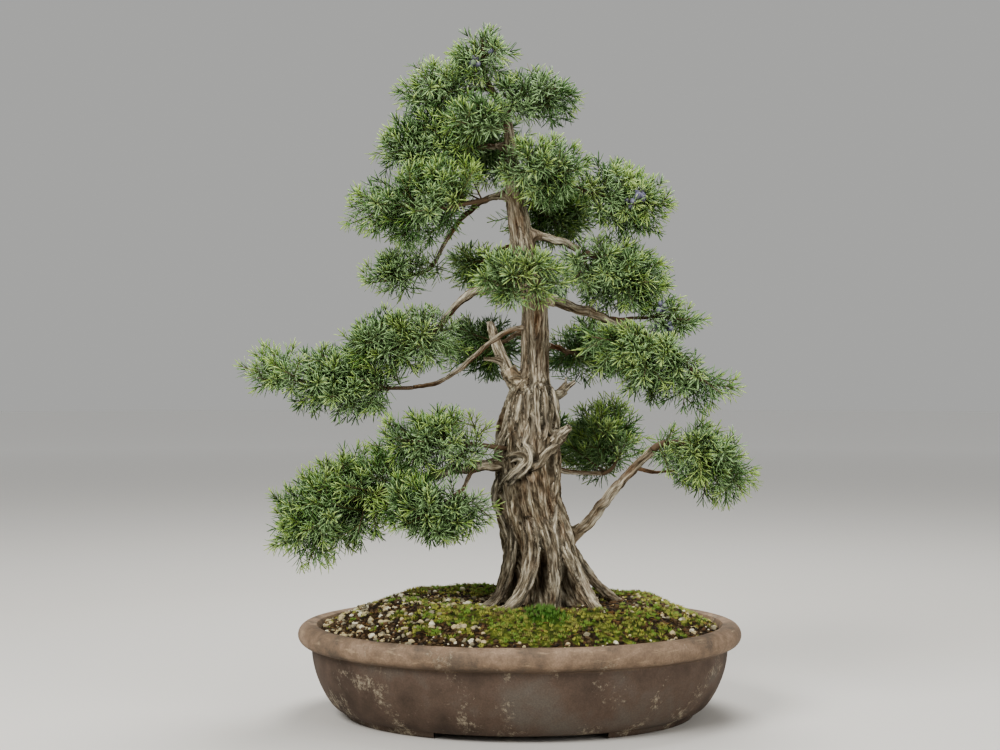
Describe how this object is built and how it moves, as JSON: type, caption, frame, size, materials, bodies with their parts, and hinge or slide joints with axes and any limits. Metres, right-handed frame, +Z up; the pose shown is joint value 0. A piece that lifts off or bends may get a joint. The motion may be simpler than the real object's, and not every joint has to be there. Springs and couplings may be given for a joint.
{
  "type": "common juniper bonsai in a pot",
  "caption": "Common juniper bonsai, an upright tapering trunk with bare deadwood stubs and layered pads of needle foliage, with its oval stoneware pot filled with soil and moss.",
  "frame": {"origin": "on the table under the middle of the whole tree and pot", "axes": "+Z up; -Y towards the viewer of the tree's front, the side the picture shows; +X to the viewer's right"},
  "size_m": [0.5048, 0.343, 0.6884],
  "materials": {
    "stoneware": "unglazed brown-grey stoneware, worn, with pale mineral stains",
    "soil_and_moss": "matt moss, dark crumbly soil and pale pumice grit",
    "bark": "rough, fibrous, deeply furrowed grey-brown bark",
    "deadwood": "bare weathered silver-grey wood",
    "foliage": "green awl-shaped needles in sprays on thin twigs, with a few blue-grey berries"
  },
  "bodies": {
    "root": {"pot": "stoneware", "soil_mound": "soil_and_moss", "trunk": "bark", "deadwood_fork_left": "deadwood", "deadwood_spur_left": "deadwood", "deadwood_stub_front": "deadwood", "deadwood_stub_right": "deadwood", "bough_low_right": "bark", "bough_right_middle": "bark", "bough_right_upper": "bark", "bough_left_middle": "bark", "bough_left_slender": "bark", "bough_low_left": "bark", "bough_left_hanging": "bark", "bough_upper_left": "bark", "bough_left_upper": "bark", "bough_upper_right": "bark", "bough_front": "bark", "bough_back_left_upper": "bark", "bough_back_left_middle": "bark", "bough_back_right_middle": "bark", "bough_back_right_low": "bark", "bough_back_upper": "bark", "bough_back_middle": "bark", "bough_back_low": "bark", "branch_low_right": "bark", "branch_right_berry": "bark", "branch_low_left_front": "bark", "foliage_apex": "foliage", "foliage_top_left": "foliage", "foliage_top_right": "foliage", "foliage_top_front": "foliage", "foliage_top_back": "foliage", "foliage_upper_left": "foliage", "foliage_left_upper": "foliage", "foliage_right_inner": "foliage", "foliage_right_outer": "foliage", "foliage_front": "foliage", "foliage_right_middle": "foliage", "foliage_right_tip": "foliage", "foliage_right_lower": "foliage", "foliage_low_right": "foliage", "foliage_left_middle": "foliage", "foliage_far_left": "foliage", "foliage_small_left": "foliage", "foliage_low_left_inner": "foliage", "foliage_low_left_front": "foliage", "foliage_low_left_outer": "foliage", "foliage_back_left_upper": "foliage", "foliage_back_left_middle": "foliage", "foliage_back_right_middle": "foliage", "foliage_back_right_low": "foliage", "foliage_back_upper": "foliage", "foliage_back_middle": "foliage", "foliage_back_low": "foliage"}
  },
  "joints": []
}
